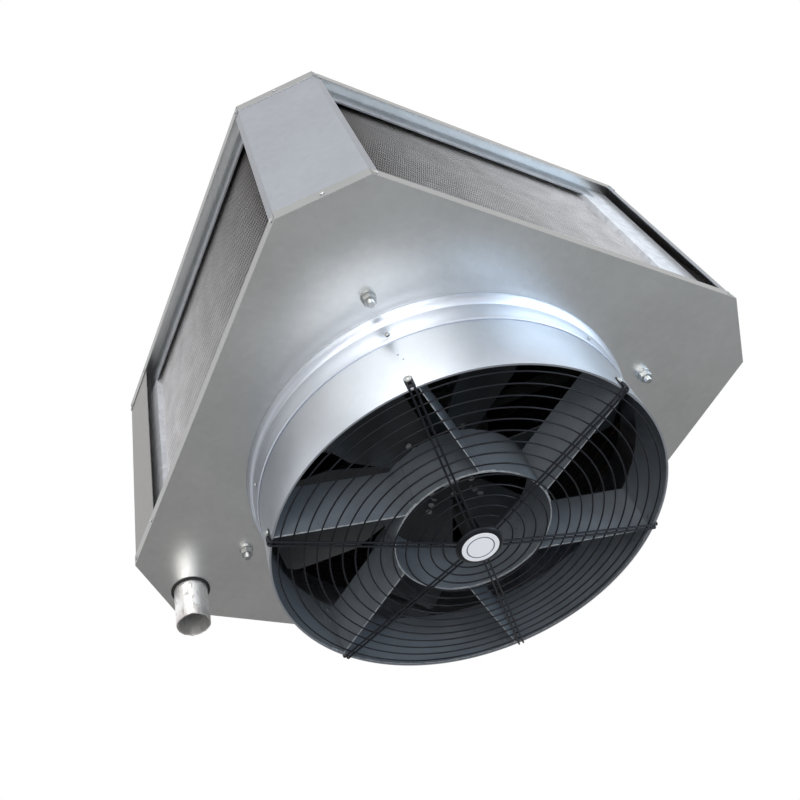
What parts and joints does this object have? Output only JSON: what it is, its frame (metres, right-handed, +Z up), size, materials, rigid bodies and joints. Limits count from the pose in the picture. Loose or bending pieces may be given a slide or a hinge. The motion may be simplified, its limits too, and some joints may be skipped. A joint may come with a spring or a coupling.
{
  "type": "steam unit heater",
  "caption": "ceiling-hung steam unit heater with wrap-around finned coils, axial fan, fixed guide vanes and a wire guard",
  "frame": {"origin": "centre of the four hanger studs, at the upper face of the nuts on the top plate", "axes": "+Z up along the studs, away from the fan outlet; +X from the corner that faces the camera towards the picture's right corner; +Y towards the pipe corner side"},
  "size_m": [0.9042, 0.9042, 0.7543],
  "materials": {
    "casing_zinc": "satin galvanised sheet",
    "panel_steel": "satin galvanised sheet, bluish",
    "collar_steel": "bright smooth sheet",
    "channel_zinc": "spangled galvanised sheet",
    "fin_aluminium": "thin corrugated fins",
    "copper_tube": "copper tube, dulled",
    "pipe_steel": "bare steel with a heat tint",
    "grommet_rubber": "matt",
    "zinc_fastener": "zinc plated",
    "machined_steel": "machined",
    "vane_paint": "satin dark blue-grey",
    "blade_paint": "satin blue-grey",
    "hub_paint": "satin near black",
    "motor_paint": "satin blue-grey",
    "guard_black": "satin black coating",
    "black_plastic": "matt",
    "disc_white": "plain, semi-gloss"
  },
  "bodies": {
    "casing": {"bottom_plate": "casing_zinc", "top_plate": "casing_zinc", "corner_panel_1": "panel_steel", "corner_panel_2": "panel_steel", "corner_panel_3": "panel_steel", "header_cover": "panel_steel", "panel_screws": "zinc_fastener", "neck_ring": "casing_zinc", "outlet_collar": "collar_steel", "collar_screws": "zinc_fastener", "vane_sleeve": "vane_paint", "vane_drum": "vane_paint", "guide_vane_1": "vane_paint", "guide_vane_2": "vane_paint", "guide_vane_3": "vane_paint", "guide_vane_4": "vane_paint", "guide_vane_5": "vane_paint", "guide_vane_6": "vane_paint", "vane_rivets": "vane_paint", "motor_bearings": "machined_steel", "motor_body": "motor_paint", "motor_flange": "motor_paint", "motor_cowl": "motor_paint", "motor_bolts": "zinc_fastener", "terminal_box": "motor_paint", "cable_gland": "black_plastic", "motor_spider": "hub_paint", "tie_rods": "zinc_fastener", "nuts": "zinc_fastener", "washers": "zinc_fastener", "guard_rings": "guard_black", "guard_spokes": "guard_black", "guard_dish": "guard_black", "guard_disc": "disc_white", "guard_screws": "zinc_fastener", "fin_pack_1": "fin_aluminium", "fin_pack_2": "fin_aluminium", "coil_tubes_1": "copper_tube", "coil_tubes_2": "copper_tube", "crossover_bends": "copper_tube", "top_channel_1": "channel_zinc", "top_channel_2": "channel_zinc", "bottom_channel_1": "channel_zinc", "bottom_channel_2": "channel_zinc", "end_plates_1": "channel_zinc", "end_plates_2": "channel_zinc", "supply_header": "pipe_steel", "condensate_header": "pipe_steel", "pipe_stubs": "pipe_steel", "pipe_grommets": "grommet_rubber"},
    "fan": {"impeller_hub": "hub_paint", "blade_1": "blade_paint", "blade_2": "blade_paint", "blade_3": "blade_paint", "blade_4": "blade_paint", "blade_5": "blade_paint", "blade_6": "blade_paint", "blade_bolts": "zinc_fastener", "motor_shaft": "machined_steel", "motor_fan": "black_plastic"}
  },
  "joints": [
    {"name": "fan_spin", "type": "hinge", "parent": "casing", "child": "fan", "pos_m": [0, 0, 0], "axis": [0, 0, 1], "continuous": true}
  ]
}
